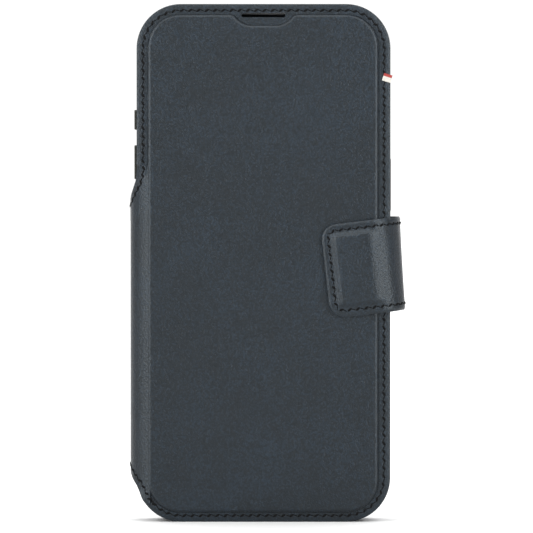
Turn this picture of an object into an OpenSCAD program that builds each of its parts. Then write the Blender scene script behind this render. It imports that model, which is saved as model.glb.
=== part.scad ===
// Leather wallet case for a large phone. It stands upright on its lower edge and is closed:
// the cover faces -Y, the spine is on the -X side, and the strap comes round from the back on the +X side.
// The origin is at the middle of the lowest edge of the whole closed case.

/* [Phone] */
// Width of the phone
phone_w = 77.6; // [70:0.1:80]
// Height of the phone
phone_h = 163; // [150:0.1:168]
// Thickness of the phone
phone_t = 8.3; // [7:0.1:10]
// Radius of the phone's corners, seen from the front
phone_r = 12.3; // [9:0.1:15]
// Clearance between the phone and the tray's walls
phone_gap = 0.1; // [0.05:0.05:0.4]

/* [Tray] */
// Thickness of the tray's moulded side walls
shell_t = 1; // [0.9:0.1:1.6]
// Thickness of the tray's moulded back
shell_back_t = 1; // [0.9:0.1:1.6]
// Thickness of the leather on the tray's sides and back
case_leather_t = 0.5; // [0.4:0.1:0.8]
// How far the tray's rim stands out past its leather
rim_proud = 0.1; // [0.05:0.05:0.3]
// Depth of the rim that stays bare in front of the leather
rim_d = 1.5; // [1:0.1:2.5]
// How far the front lip reaches over the phone's glass
lip_reach = 1.2; // [0.8:0.1:1.8]
// Thickness of the front lip
lip_t = 0.7; // [0.5:0.1:1.2]
// Radius of the tray's outer back edge
case_edge_r = 2.2; // [1.8:0.1:3]
// Radius of the rim's outer front edge
rim_r = 0.9; // [0.4:0.1:1.2]
// Thickness of the soft lining behind the phone
case_lining_t = 0.4; // [0.3:0.1:0.8]
// How far the tray sits towards the spine from the middle of the cover
case_shift = 0.3; // [0:0.05:0.5]

/* [Camera, port and speaker] */
// Width and height of the camera window in the tray's back
camera_w = 40; // [30:0.5:44]
// Corner radius of the camera window
camera_r = 10; // [6:0.5:12]
// Distance from the window to the top and side of the phone
camera_inset = 2.2; // [1.8:0.1:5]
// Width of the camera frame's rim, on each side of the window's edge
camera_rim_w = 1; // [0.8:0.1:1.5]
// How far the camera frame stands out from the tray's leather
camera_rim_t = 0.9; // [0.5:0.1:1.6]
// Width of the charging port's opening
port_w = 13; // [10:0.5:18]
// Depth of the charging port's opening
port_d = 6; // [5:0.5:6.5]
// Width of the speaker opening on each side of the port
speaker_w = 14; // [6:0.5:16]
// Depth of the speaker openings
speaker_d = 2.2; // [1.2:0.1:3]
// Distance from the middle of the port to the middle of a speaker opening
speaker_off = 17.5; // [14:0.5:19]

/* [Side buttons] */
// Depth of a button, from front to back
button_d = 2.8; // [2:0.1:3.4]
// How far a button stands out from the tray
button_proud = 1; // [0.4:0.05:1.2]
// How far a button travels when it is pressed
button_travel = 0.4; // [0.2:0.05:0.5]
// Thickness of the flange that keeps a button in the wall
flange_t = 0.3; // [0.2:0.05:0.4]
// How far the flange reaches past the button, all round
flange_w = 0.8; // [0.4:0.1:1.2]
// Clearance round a button in its window
button_gap = 0.15; // [0.05:0.05:0.3]
// Height of the action button
action_h = 6.4; // [4:0.1:9]
// Height of each volume button
volume_h = 11; // [8:0.1:12]
// Height of the power button
power_h = 17; // [10:0.1:22]
// Distance from the top of the cover to the middle of the action button
action_drop = 37.1; // [35:0.1:40]
// Distance from the top of the cover to the middle of the volume up button
volume_up_drop = 50.8; // [49:0.1:52]
// Distance from the top of the cover to the middle of the volume down button
volume_down_drop = 64.6; // [64:0.1:70]
// Distance from the top of the cover to the middle of the power button
power_drop = 58.1; // [40:0.1:75]

/* [Cover and back panel] */
// How far the cover reaches past the tray's walls, on average
cover_over = 0.35; // [0.3:0.05:1]
// How far the cover reaches past the top of the tray
cover_over_top = 0.4; // [0.1:0.05:1.5]
// Radius of the cover's corners
cover_r = 14.3; // [12:0.1:16]
// Distance from the camera frame down to the back panel's upper edge
back_drop = 2.8; // [1:0.1:8]
// Radius of the back panel's upper corners
back_top_r = 5; // [2:0.5:9]
// Thickness of the outer leather
leather_t = 0.9; // [0.7:0.1:1.2]
// Thickness of the stiffening board
board_t = 0.8; // [0.7:0.1:1.2]
// Thickness of the inner lining
lining_t = 0.4; // [0.3:0.1:0.6]
// Distance from the left edge to the raised panel
margin_left = 4.3; // [4:0.1:6]
// Distance from the right edge to the raised panel
margin_right = 4.1; // [3:0.1:6]
// Distance from the top edge to the raised panel
margin_top = 4.1; // [3.8:0.1:6]
// Distance from the bottom edge to the raised panel
margin_bottom = 3.2; // [3:0.1:6]
// Corner radius of the raised panel
panel_r = 10.2; // [6:0.1:12]
// Distance from the raised panel back to the crease beside the spine
crease_back = 1; // [0.8:0.1:1.5]
// Width of the slot over the phone's speaker
slot_w = 14.2; // [8:0.1:20]
// Height of the slot over the phone's speaker
slot_h = 1.35; // [0.8:0.05:2]
// Distance from the top of the cover to the middle of the slot
slot_drop = 3.6; // [3:0.1:5]
// Width of the dip in the raised panel, at its top
notch_w = 21.3; // [16:0.1:30]
// Width of the dip in the raised panel, at its bottom
notch_low_w = 13.9; // [10:0.1:15]
// Depth of the dip in the raised panel
notch_h = 2.9; // [2:0.1:4]

/* [Pockets] */
// Thickness of a pocket's sheet
pocket_t = 0.35; // [0.2:0.05:0.5]
// Distance from the top of the raised panel to the mouth of the cash pocket
cash_drop = 11.5; // [8:0.5:30]
// Distance from the sides of the raised panel to the card pockets, which take a card stood on end
card_side = 4.6; // [2:0.1:7]
// Height of the card pocket next to the cover
card_h = 112; // [100:1:120]
// Step from one card pocket down to the next
card_step = 14; // [8:1:18]
// Radius of a card pocket's lower corners
card_r = 5; // [2:0.5:8]
// Radius of the corners at a pocket's mouth
thumb_r = 1; // [0.5:0.5:2]
// Depth of the thumb dip at a card pocket's mouth
thumb_h = 4; // [2:0.5:6]
// Width of the thumb dip
thumb_w = 24; // [16:1:30]

/* [Spine] */
// Clearance between the spine's lining and the side buttons
spine_gap = 0.35; // [0.3:0.05:1]
// Thickness of the spine's leather
spine_leather_t = 0.65; // [0.5:0.05:0.8]
// Thickness of the spine's lining
spine_lining_t = 0.35; // [0.2:0.05:0.4]
// Height of the spine's lower end above the case's lowest edge
spine_low = 6; // [4:0.1:14]
// Distance from the top of the back panel to the spine's upper end, at the creases
spine_drop = 4; // [3.5:0.1:10]
// Depth of the scoop in the spine's upper end
scoop_high_h = 12.5; // [6:0.1:14]
// Depth of the scoop in the spine's lower end
scoop_low_h = 10.8; // [5:0.1:14]
// Roundness of the spine: 2 is an ellipse, and more is squarer
spine_power = 2.6; // [2.4:0.1:4]

/* [Strap] */
// Width of the strap
strap_w = 30.1; // [20:0.1:40]
// How far the strap's tip reaches in from the cover's right edge
strap_reach = 20.6; // [18:0.1:30]
// Radius of the strap's corners
strap_r = 5; // [3:0.1:8]
// How far the strap stands out past the cover's right edge
strap_proud = 3.85; // [3.5:0.05:6]
// Height of the middle of the strap above the middle of the cover
strap_up = 0; // [-20:0.1:10]
// Angle by which the front of the strap droops
strap_droop = 6.5; // [0:0.5:8]
// Thickness of the strap's leather
strap_leather_t = 0.9; // [0.7:0.1:1.2]
// Thickness of the strap's lining
strap_lining_t = 0.4; // [0.3:0.1:0.6]
// Length of the strap's sewn end on the back panel
root_l = 25; // [18:0.5:40]
// Width of the magnet in the strap
catch_w = 10; // [6:0.1:12]
// Height of the magnet in the strap
catch_h = 22; // [14:0.1:24]
// Thickness of the magnet in the strap
catch_t = 0.7; // [0.4:0.1:1]
// Distance from the strap's tip to the middle of the magnet
catch_in = 9.7; // [8:0.1:11]
// Width of the steel plate in the cover
plate_w = 8; // [5:0.1:8]
// Height of the steel plate in the cover
plate_h = 20; // [12:0.1:22]
// Thickness of the steel plate in the cover
plate_t = 0.5; // [0.3:0.1:0.6]
// How far the leather of the pad reaches past the magnet
pad_over = 1.2; // [0.9:0.1:1.6]
// Roundness of the strap's bend: 2 is an ellipse, and more is squarer
strap_power = 4; // [3.6:0.1:5]

/* [Magnets that hold the tray] */
// Outer diameter of the ring of magnets
ring_od = 54; // [48:0.5:56]
// Inner diameter of the ring of magnets
ring_id = 46; // [40:0.5:47]
// Number of magnets in the ring
ring_count = 18; // [12:1:24]
// Distance from the top of the back panel's board to the ring
ring_drop = 3.8; // [2:0.1:8]
// Thickness of the magnets
magnet_t = 0.6; // [0.4:0.05:0.6]
// Width of the upright magnet below the ring
bar_w = 5.6; // [4:0.1:8]
// Height of the upright magnet below the ring
bar_h = 17; // [12:0.5:20]
// Distance from the ring down to the upright magnet
bar_gap = 6; // [4:0.5:7]

/* [Tag] */
// Width of the woven tag that shows on the cover
tag_w = 2.6; // [2:0.1:3.4]
// Height of the woven tag
tag_h = 2.8; // [2:0.1:5]
// Thickness of the woven tag
tag_t = 0.25; // [0.15:0.05:0.4]
// How far the tag stands out past the cover's edge
tag_proud = 0.5; // [0.3:0.05:0.8]
// Distance from the cover's top down to the middle of the tag
tag_drop = 24.1; // [17:0.1:50]
// Slant of the tag
tag_slant = 17; // [0:1:20]

/* [Clearances] */
// Clearance in front of the tray and behind it
tray_gap = 0.3; // [0.2:0.05:0.6]
// Gap at a crease, between the two leathers that fold there
crease_gap = 0.3; // [0.2:0.05:0.5]
// Clearance between the strap and the cover
strap_gap = 0.2; // [0.15:0.05:0.5]
// Clearance round a magnet or plate in its recess
recess_gap = 0.1; // [0.05:0.05:0.2]

/* [Hidden] */

$fn = 64;
// Segments in a quarter of a small rounded edge
edge_steps = 6;
// Segments in a half turn of the spine or the strap
bend_steps = 36;
// How far a cutting shape runs past what it cuts
over = 1;

// Tray, seen from the front
bay_w = phone_w + 2 * phone_gap;
bay_h = phone_h + 2 * phone_gap;
bay_r = phone_r + phone_gap;
leather_out = shell_t + case_leather_t;
wall_t = leather_out + rim_proud;
case_w = bay_w + 2 * wall_t;
case_h = bay_h + 2 * wall_t;
case_x = -case_shift;
case_z = case_h / 2;
camera_x = case_x + bay_w / 2 - camera_inset - camera_w / 2;
camera_z = case_z + bay_h / 2 - camera_inset - camera_w / 2;

// Cover, seen from the front
cover_w = case_w + 2 * cover_over;
cover_h = case_h + cover_over_top;
left = -cover_w / 2;
right = cover_w / 2;
panel_left = left + margin_left;
panel_right = right - margin_right;
panel_top = cover_h - margin_top;
back_h = camera_z - camera_w / 2 - camera_rim_w - back_drop;
crease_x = panel_left - crease_back;

// Layers from front to back; the raised panel's face is at zero
cover_edge_y = board_t;
cover_board_y = leather_t;
cover_lining_y = cover_board_y + board_t;
cash_y = cover_lining_y + lining_t;
cards_y = cash_y + pocket_t;
case_y = cards_y + 3 * pocket_t + tray_gap;
glass_y = case_y + lip_t;
case_lining_y = glass_y + phone_t;
shell_back_y = case_lining_y + case_lining_t;
case_leather_y = shell_back_y + shell_back_t;
case_back_y = case_leather_y + case_leather_t;
back_lining_y = case_back_y + tray_gap;
back_board_y = back_lining_y + lining_t;
back_panel_y = back_board_y + board_t;
back_edge_y = back_board_y + leather_t;
back_face_y = back_panel_y + leather_t;
strap_back_y = back_face_y + strap_leather_t + strap_lining_t;
strap_front_y = -strap_gap - strap_leather_t - strap_lining_t;
pad_front_y = strap_front_y - catch_t;

// Spine
spine_t = spine_leather_t + spine_lining_t;
spine_out = case_x - case_w / 2 - button_proud - spine_gap - spine_t;
spine_high = back_h - spine_drop;
spine_x = crease_x - crease_gap / 2;
spine_a = spine_x - spine_out;
spine_y = (cover_edge_y + back_edge_y) / 2;
spine_b = (back_edge_y - cover_edge_y) / 2;

// Strap
strap_out = right + strap_proud;
strap_y = (strap_front_y + strap_back_y) / 2;
strap_b = (strap_back_y - strap_front_y) / 2;
strap_x = strap_out - strap_b;
strap_z = cover_h / 2 + strap_up;
tip_x = right - strap_reach;
root_x = panel_right;
catch_x = tip_x + catch_in;

// The whole case, which sets the origin
mid_x = (spine_out + strap_out) / 2;
mid_y = (pad_front_y + strap_back_y) / 2;

button_y = (glass_y + case_lining_y) / 2;
ring_z = back_h - margin_top - leather_t - ring_drop - ring_od / 2;
bar_z = ring_z - ring_od / 2 - bar_gap - bar_h / 2;

// ---- Helpers ----

// Moves what was drawn about the middle of the cover to the origin of the whole case
module placed() {
    translate([-mid_x, -mid_y, 0]) children();
}

// Rectangle with its own radius at the lower and the upper corners
module round_box(x0, z0, x1, z1, r_low, r_high) {
    translate([x0, z0 + r_low]) square([x1 - x0, z1 - z0 - r_low - r_high]);
    translate([x0 + r_low, z0]) square([x1 - x0 - 2 * r_low, r_low]);
    translate([x0 + r_high, z1 - r_high]) square([x1 - x0 - 2 * r_high, r_high]);
    for (x = [x0 + r_low, x1 - r_low]) translate([x, z0 + r_low]) circle(r_low);
    for (x = [x0 + r_high, x1 - r_high]) translate([x, z1 - r_high]) circle(r_high);
}

// Rounded rectangle about its own middle
module round_slot(w, h, r) {
    round_box(-w / 2, -h / 2, w / 2, h / 2, r, r);
}

// Stands a drawing of X and Z up as a sheet from y0 to y0 + t
module sheet(y0, t) {
    translate([0, y0 + t, 0]) rotate([90, 0, 0]) linear_extrude(t) children();
}

// Pushes a drawing of Y and Z along X, from x0
module along_x(x0, l) {
    translate([x0, 0, 0]) rotate([90, 0, 90]) linear_extrude(l) children();
}

// Carries a section of distance outwards and depth round a rounded rectangle about its middle
module swept_round(w, h, r) {
    for (k = [0:3]) {
        half_x = k % 2 == 0 ? w / 2 : h / 2;
        half_z = k % 2 == 0 ? h / 2 : w / 2;
        rotate([0, 90 * k, 0]) {
            translate([half_x, 0, r - half_z]) linear_extrude(2 * (half_z - r)) children();
            translate([half_x - r, 0, r - half_z]) rotate([-90, 0, 0])
                rotate_extrude(angle = 90) translate([r, 0]) children();
        }
    }
}

// Points of a rounded corner, from one angle to another
function corner(x, y, r, from, to) =
    [for (i = [0:edge_steps])
        let (a = from + (to - from) * i / edge_steps) [x + r * cos(a), y + r * sin(a)]];

// Point of a superellipse at an angle
function bend_point(a, b, n, t) = [
    a * sign(cos(t)) * pow(abs(cos(t)), 2 / n),
    b * sign(sin(t)) * pow(abs(sin(t)), 2 / n)];

// Points of a superellipse from one angle to another
function bend(a, b, n, from, to, steps) =
    [for (i = [0:steps]) bend_point(a, b, n, from + (to - from) * i / steps)];

// ---- Cover and back panel ----

// Strip beside the panel that the spine takes, between the two ends of the spine
module spine_strip() {
    translate([left - over, spine_low - crease_gap])
        square([crease_x + crease_gap / 2 - left + over, spine_high - spine_low + 2 * crease_gap]);
}

// Dip of the raised panel under the speaker slot, grown by a margin
module slot_dip(grow) {
    polygon([
        [-notch_w / 2 - grow, panel_top + over], [notch_w / 2 + grow, panel_top + over],
        [notch_w / 2 + grow, panel_top], [notch_low_w / 2 + grow, panel_top - notch_h - grow],
        [-notch_low_w / 2 - grow, panel_top - notch_h - grow], [-notch_w / 2 - grow, panel_top]]);
}

// Outline of the cover, with the spine's strip and the speaker slot out of it
module cover_outline() {
    difference() {
        round_box(left, 0, right, cover_h, cover_r, cover_r);
        spine_strip();
        translate([0, cover_h - slot_drop]) round_slot(slot_w, slot_h, slot_h / 2 - 0.01);
    }
}

// Outline of the back panel
module back_outline() {
    difference() {
        round_box(left, 0, right, back_h, cover_r, back_top_r);
        spine_strip();
    }
}

// Raised part of the cover, shrunk by a margin; the board is this less the leather
module cover_panel(shrink) {
    difference() {
        round_box(panel_left + shrink, margin_bottom + shrink, panel_right - shrink, panel_top - shrink,
            panel_r - shrink, panel_r - shrink);
        slot_dip(shrink);
    }
}

// Raised part of the back panel, shrunk by a margin
module back_raised(shrink) {
    round_box(panel_left + shrink, margin_bottom + shrink, panel_right - shrink,
        back_h - margin_top - shrink, panel_r - shrink, back_top_r - shrink);
}

// Place of the strap's catch, as seen from the front; the front of the strap droops about its bend
module drooped() {
    translate([strap_out, 0, strap_z]) rotate([0, -strap_droop, 0]) translate([-strap_out, 0, -strap_z])
        children();
}

// Block of the magnet or the plate, at the strap's catch, with a margin
module catch_block(w, h, y0, t, grow) {
    drooped() sheet(y0, t) translate([catch_x, strap_z]) round_slot(w + 2 * grow, h + 2 * grow, 1 + grow);
}

module cover_leather() {
    color("#3d464f") placed() difference() {
        union() {
            sheet(cover_edge_y, leather_t) cover_outline();
            sheet(0, leather_t) cover_panel(0);
        }
        sheet(cover_board_y, board_t + over) cover_panel(leather_t);
    }
}

module cover_board() {
    color("#8a8378") placed() difference() {
        sheet(cover_board_y, board_t) cover_panel(leather_t);
        catch_block(plate_w, plate_h, cover_board_y - over, plate_t + over, recess_gap);
    }
}

module cover_lining() {
    color("#2c3034") placed() sheet(cover_lining_y, lining_t) cover_outline();
}

module catch_plate() {
    color("#9aa0a4") placed() catch_block(plate_w, plate_h, cover_board_y, plate_t, 0);
}

module back_leather() {
    color("#3d464f") placed() difference() {
        union() {
            sheet(back_board_y, leather_t) back_outline();
            sheet(back_panel_y, leather_t) back_raised(0);
        }
        sheet(back_board_y - over, board_t + over) back_raised(leather_t);
    }
}

// Places the ring's magnets in a sheet, or the groove that holds them
module ring_band(y0, t, grow) {
    sheet(y0, t) translate([case_x, ring_z]) difference() {
        circle(ring_od / 2 + grow);
        circle(ring_id / 2 - grow);
    }
}

// Arc magnets of the ring, each with a small gap to the next
module ring_magnets(y0) {
    pitch = 360 / ring_count;
    gap_angle = 360 * 2 * recess_gap / (PI * ring_id);
    translate([case_x, y0, ring_z]) rotate([-90, 0, 0])
        for (k = [0:ring_count - 1]) rotate([0, 0, k * pitch])
            rotate_extrude(angle = pitch - gap_angle)
                translate([ring_id / 2, 0]) square([(ring_od - ring_id) / 2, magnet_t]);
}

module bar_magnet(y0, t, grow) {
    sheet(y0, t) translate([case_x, bar_z]) round_slot(bar_w + 2 * grow, bar_h + 2 * grow, 1 + grow);
}

module back_board() {
    color("#8a8378") placed() difference() {
        sheet(back_board_y, board_t) back_raised(leather_t);
        ring_band(back_board_y - over, magnet_t + over, recess_gap);
        bar_magnet(back_board_y - over, magnet_t + over, recess_gap);
    }
}

module back_lining() {
    color("#2c3034") placed() sheet(back_lining_y, lining_t) back_outline();
}

module back_magnets() {
    color("#b9bcc0") placed() ring_magnets(back_board_y);
}

module back_alignment_magnet() {
    color("#b9bcc0") placed() bar_magnet(back_board_y, magnet_t, 0);
}

// ---- Pockets ----

module cash_pocket() {
    color("#343a41") placed() sheet(cash_y, pocket_t)
        round_box(panel_left, margin_bottom, panel_right, panel_top - cash_drop, panel_r, panel_r);
}

// Card pocket number k, counted from the cover, with a thumb dip in its mouth
module card_pocket(k) {
    top = margin_bottom + leather_t + card_h - k * card_step;
    color("#3d464f") placed() sheet(cards_y + k * pocket_t, pocket_t) difference() {
        round_box(panel_left + card_side, margin_bottom + leather_t, panel_right - card_side, top,
            card_r, thumb_r);
        translate([(panel_left + panel_right) / 2, top]) polygon(bend(thumb_w / 2, thumb_h, 2, -180, 0, bend_steps));
    }
}

module card_pocket_1() {
    card_pocket(0);
}

module card_pocket_2() {
    card_pocket(1);
}

module card_pocket_3() {
    card_pocket(2);
}

module woven_tag() {
    color("#d8d4cc") placed() difference() {
        translate([right, 0, cover_h - tag_drop]) rotate([0, tag_slant, 0])
            translate([-tag_w, cover_edge_y - tag_t, -tag_h / 2])
                cube([tag_w + tag_proud, leather_t + lining_t + 2 * tag_t, tag_h]);
        translate([0, cover_edge_y, 0]) cube([right, leather_t + lining_t, cover_h]);
    }
}

// ---- Spine ----

// Half ellipse cut out of the end of the spine; way is 1 at the upper end and -1 at the lower end
module scoop(end_z, h, way) {
    along_x(spine_x - spine_a - over, spine_a + 2 * over) translate([spine_y, end_z])
        polygon(concat(
            [[-spine_b, way * over], [spine_b, way * over]],
            bend(spine_b - crease_gap, way * h, 2, 0, -180, bend_steps)));
}

// One layer of the spine, between two depths from its outer face
module spine_layer(from, to) {
    outer = bend(spine_a - from, spine_b - from, spine_power, 90, 270, bend_steps);
    inner = bend(spine_a - to, spine_b - to, spine_power, 270, 90, bend_steps);
    placed() difference() {
        translate([spine_x, spine_y, spine_low]) linear_extrude(spine_high - spine_low)
            polygon(concat(outer, inner));
        scoop(spine_high, scoop_high_h, 1);
        scoop(spine_low, scoop_low_h, -1);
    }
}

module spine_leather() {
    color("#3d464f") spine_layer(0, spine_leather_t);
}

module spine_lining() {
    color("#2c3034") spine_layer(spine_leather_t, spine_t);
}

// ---- Strap ----

// Front half of one layer of the strap, between two depths from its outer face
module strap_front(from, to) {
    outer = bend(strap_b - from, strap_b - from, strap_power, -90, 0, bend_steps / 2);
    inner = bend(strap_b - to, strap_b - to, strap_power, 0, -90, bend_steps / 2);
    leg_x = tip_x - strap_reach / 2 - strap_x;
    translate([strap_x, strap_y, 0]) linear_extrude(cover_h)
        polygon(concat([[leg_x, to - strap_b], [leg_x, from - strap_b]], outer, inner));
}

// Back half of one layer of the strap, which starts at the crease beside the sewn end
module strap_back(from, to) {
    outer = bend(strap_b - from, strap_b - from, strap_power, 0, 90, bend_steps / 2);
    inner = bend(strap_b - to, strap_b - to, strap_power, 90, 0, bend_steps / 2);
    translate([strap_x, strap_y, strap_z - strap_w / 2]) linear_extrude(strap_w) intersection() {
        polygon(concat(outer, inner));
        translate([root_x + crease_gap - strap_x, 0]) square(strap_b + over);
    }
}

// One whole layer of the strap; its front is cut to a drooping outline that runs past the bend
module strap_layer(from, to) {
    intersection() {
        strap_front(from, to);
        drooped() sheet(pad_front_y - over, strap_y - pad_front_y + over)
            round_box(tip_x, strap_z - strap_w / 2, strap_out + 2 * strap_r, strap_z + strap_w / 2,
                strap_r, strap_r);
    }
    strap_back(from, to);
}

module strap_leather() {
    color("#3d464f") placed() difference() {
        union() {
            strap_layer(0, strap_leather_t);
            catch_block(catch_w, catch_h, pad_front_y, catch_t + strap_leather_t / 2, pad_over);
        }
        catch_block(catch_w, catch_h, pad_front_y + strap_leather_t, catch_t + over, recess_gap);
    }
}

module strap_lining() {
    color("#2c3034") placed() strap_layer(strap_leather_t, strap_leather_t + strap_lining_t);
}

module strap_magnet() {
    color("#b9bcc0") placed() catch_block(catch_w, catch_h, pad_front_y + strap_leather_t, catch_t, 0);
}

module strap_root() {
    color("#3d464f") placed() sheet(back_face_y, strap_leather_t + strap_lining_t) union() {
        round_box(root_x - root_l, strap_z - strap_w / 2, root_x, strap_z + strap_w / 2, strap_r, strap_r);
        translate([root_x - root_l / 2, strap_z - strap_w / 2]) square([root_l / 2, strap_w]);
    }
}

// ---- Tray ----

// Places a shape drawn about the middle of the tray
module at_case() {
    translate([case_x, 0, case_z]) children();
}

// Section of the shell's wall, with its lip, rim and rounded back edge
module shell_section() {
    core_x = leather_out - case_edge_r;
    core_y = case_back_y - case_edge_r;
    polygon(concat(
        [[-lip_reach, glass_y], [-lip_reach, case_y]],
        corner(wall_t - rim_r, case_y + rim_r, rim_r, -90, 0),
        [[wall_t, case_y + rim_d], [shell_t, case_y + rim_d]],
        corner(core_x, core_y, case_edge_r - case_leather_t, 0, 90),
        [[-case_edge_r, case_leather_y], [-case_edge_r, shell_back_y], [0, shell_back_y], [0, glass_y]]));
}

// Section of the leather round the shell
module case_leather_section() {
    core_x = leather_out - case_edge_r;
    core_y = case_back_y - case_edge_r;
    polygon(concat(
        [[shell_t, case_y + rim_d], [leather_out, case_y + rim_d]],
        corner(core_x, core_y, case_edge_r, 0, 90),
        [[-case_edge_r, case_back_y], [-case_edge_r, case_leather_y]],
        corner(core_x, core_y, case_edge_r - case_leather_t, 90, 0)));
}

// Window for a button through the tray's wall, and the recess for its flange; side is -1 or 1
module button_cut(side, h, drop) {
    out_x = case_x + side * (bay_w / 2 + wall_t + over);
    seat_x = case_x + side * (bay_w / 2 + button_travel + flange_t);
    in_x = case_x + side * (bay_w / 2 - over);
    along_x(min(out_x, in_x), abs(out_x - in_x)) translate([button_y, cover_h - drop])
        round_slot(button_d + 2 * button_gap, h + 2 * button_gap, 0.6 + button_gap);
    along_x(min(seat_x, in_x), abs(seat_x - in_x)) translate([button_y, cover_h - drop])
        round_slot(button_d + 2 * flange_w + 2 * button_gap, h + 2 * flange_w + 2 * button_gap, 0.6);
}

module all_button_cuts() {
    button_cut(-1, action_h, action_drop);
    button_cut(-1, volume_h, volume_up_drop);
    button_cut(-1, volume_h, volume_down_drop);
    button_cut(1, power_h, power_drop);
}

// Camera window, charging port and speaker openings
module case_cuts() {
    sheet(case_lining_y - over, case_back_y - case_lining_y + 2 * over) translate([camera_x, camera_z])
        round_slot(camera_w, camera_w, camera_r);
    translate([case_x, button_y, -over]) linear_extrude(wall_t + 2 * over) {
        round_slot(port_w, port_d, port_d / 2 - 0.01);
        for (side = [-1, 1]) translate([side * speaker_off, 0])
            round_slot(speaker_w, speaker_d, speaker_d / 2 - 0.01);
    }
}

module case_shell() {
    color("#23282d") placed() difference() {
        union() {
            at_case() swept_round(bay_w, bay_h, bay_r) shell_section();
            at_case() sheet(shell_back_y, shell_back_t) round_slot(bay_w - 1, bay_h - 1, bay_r - 0.5);
        }
        case_cuts();
        all_button_cuts();
        ring_band(case_leather_y - magnet_t, magnet_t + over, recess_gap);
        bar_magnet(case_leather_y - magnet_t, magnet_t + over, recess_gap);
    }
}

module case_leather() {
    color("#3d464f") placed() difference() {
        union() {
            at_case() swept_round(bay_w, bay_h, bay_r) case_leather_section();
            at_case() sheet(case_leather_y, case_leather_t) round_slot(bay_w - 1, bay_h - 1, bay_r - 0.5);
        }
        case_cuts();
        all_button_cuts();
    }
}

module case_lining() {
    color("#2c3034") placed() difference() {
        at_case() sheet(case_lining_y, case_lining_t)
            round_slot(bay_w - 2 * phone_gap, bay_h - 2 * phone_gap, bay_r - phone_gap);
        case_cuts();
    }
}

module camera_frame() {
    bezel_y = case_back_y + camera_rim_t;
    color("#33383c") placed() translate([camera_x, 0, camera_z])
        swept_round(camera_w, camera_w, camera_r) polygon([
            [-camera_rim_w, shell_back_y], [0, shell_back_y], [0, case_back_y], [camera_rim_w, case_back_y],
            [camera_rim_w, bezel_y - camera_rim_t / 2], [camera_rim_w / 2, bezel_y],
            [-camera_rim_w, bezel_y]]);
}

module case_magnets() {
    color("#b9bcc0") placed() ring_magnets(case_leather_y - magnet_t);
}

module case_alignment_magnet() {
    color("#b9bcc0") placed() bar_magnet(case_leather_y - magnet_t, magnet_t, 0);
}

// ---- Side buttons ----

// A button with the flange that keeps it in the wall; side is -1 or 1
module button(side, h, drop) {
    seat_x = case_x + side * (bay_w / 2 + button_travel + flange_t);
    in_x = seat_x - side * flange_t;
    out_x = case_x + side * (case_w / 2 + button_proud);
    color("#3a3f42") placed() {
        along_x(min(in_x, out_x), abs(out_x - in_x)) translate([button_y, cover_h - drop])
            round_slot(button_d, h, 0.6);
        along_x(min(in_x, seat_x), flange_t) translate([button_y, cover_h - drop])
            round_slot(button_d + 2 * flange_w, h + 2 * flange_w, 0.6);
    }
}

module action_button() {
    button(-1, action_h, action_drop);
}

module volume_up_button() {
    button(-1, volume_h, volume_up_drop);
}

module volume_down_button() {
    button(-1, volume_h, volume_down_drop);
}

module power_button() {
    button(1, power_h, power_drop);
}

back_leather();
back_board();
back_lining();
back_magnets();
back_alignment_magnet();
strap_root();
spine_leather();
spine_lining();
cover_leather();
cover_board();
cover_lining();
catch_plate();
cash_pocket();
card_pocket_1();
card_pocket_2();
card_pocket_3();
woven_tag();
strap_leather();
strap_lining();
strap_magnet();
case_shell();
case_leather();
case_lining();
camera_frame();
case_magnets();
case_alignment_magnet();
action_button();
volume_up_button();
volume_down_button();
power_button();
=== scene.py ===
# Leather wallet case for a large phone, standing closed on its lower edge.
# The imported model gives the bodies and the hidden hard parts. The leather, linings and trim are made here.
import math
import bmesh
import bpy
import numpy as np
from mathutils import Matrix, Vector


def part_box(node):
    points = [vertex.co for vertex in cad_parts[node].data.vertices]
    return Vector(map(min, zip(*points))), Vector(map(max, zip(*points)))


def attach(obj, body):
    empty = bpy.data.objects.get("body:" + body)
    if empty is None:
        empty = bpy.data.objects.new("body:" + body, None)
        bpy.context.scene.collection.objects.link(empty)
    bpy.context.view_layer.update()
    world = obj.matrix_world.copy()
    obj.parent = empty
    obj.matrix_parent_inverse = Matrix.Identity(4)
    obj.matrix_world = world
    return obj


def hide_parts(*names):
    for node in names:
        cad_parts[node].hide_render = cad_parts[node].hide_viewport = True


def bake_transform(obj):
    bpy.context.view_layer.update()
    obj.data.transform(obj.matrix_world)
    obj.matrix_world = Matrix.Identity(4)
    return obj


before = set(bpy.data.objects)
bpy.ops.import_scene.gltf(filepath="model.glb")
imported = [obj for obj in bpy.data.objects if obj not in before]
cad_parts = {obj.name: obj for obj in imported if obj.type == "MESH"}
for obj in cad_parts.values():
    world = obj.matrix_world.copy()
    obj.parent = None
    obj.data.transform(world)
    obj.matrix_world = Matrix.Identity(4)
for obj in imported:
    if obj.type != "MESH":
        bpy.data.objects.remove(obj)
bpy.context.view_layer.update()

# ---- Studio ----
# A pale table in a white room. A tall soft light at each side and one overhead light the case alone,
# and a wide light from above whitens the table. The camera looks straight at the cover.

cover_low, cover_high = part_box("cover_leather")
middle_x = (cover_low[0] + cover_high[0]) / 2
face_y = cover_low[1]


def at(x, y, z):
    """A point in metres, from millimetres across, back and up from the middle of the cover's foot."""
    return Vector((middle_x + x * 0.001, face_y + y * 0.001, z * 0.001))


camera = bpy.data.objects.new("camera", bpy.data.cameras.new("camera"))
bpy.context.scene.collection.objects.link(camera)
bpy.context.scene.camera = camera
camera.data.lens = 251.9
camera.location = at(0.96, -1200, 103.3)
camera.rotation_euler = (math.radians(89), 0, 0)
camera.data.clip_end = 20

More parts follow.
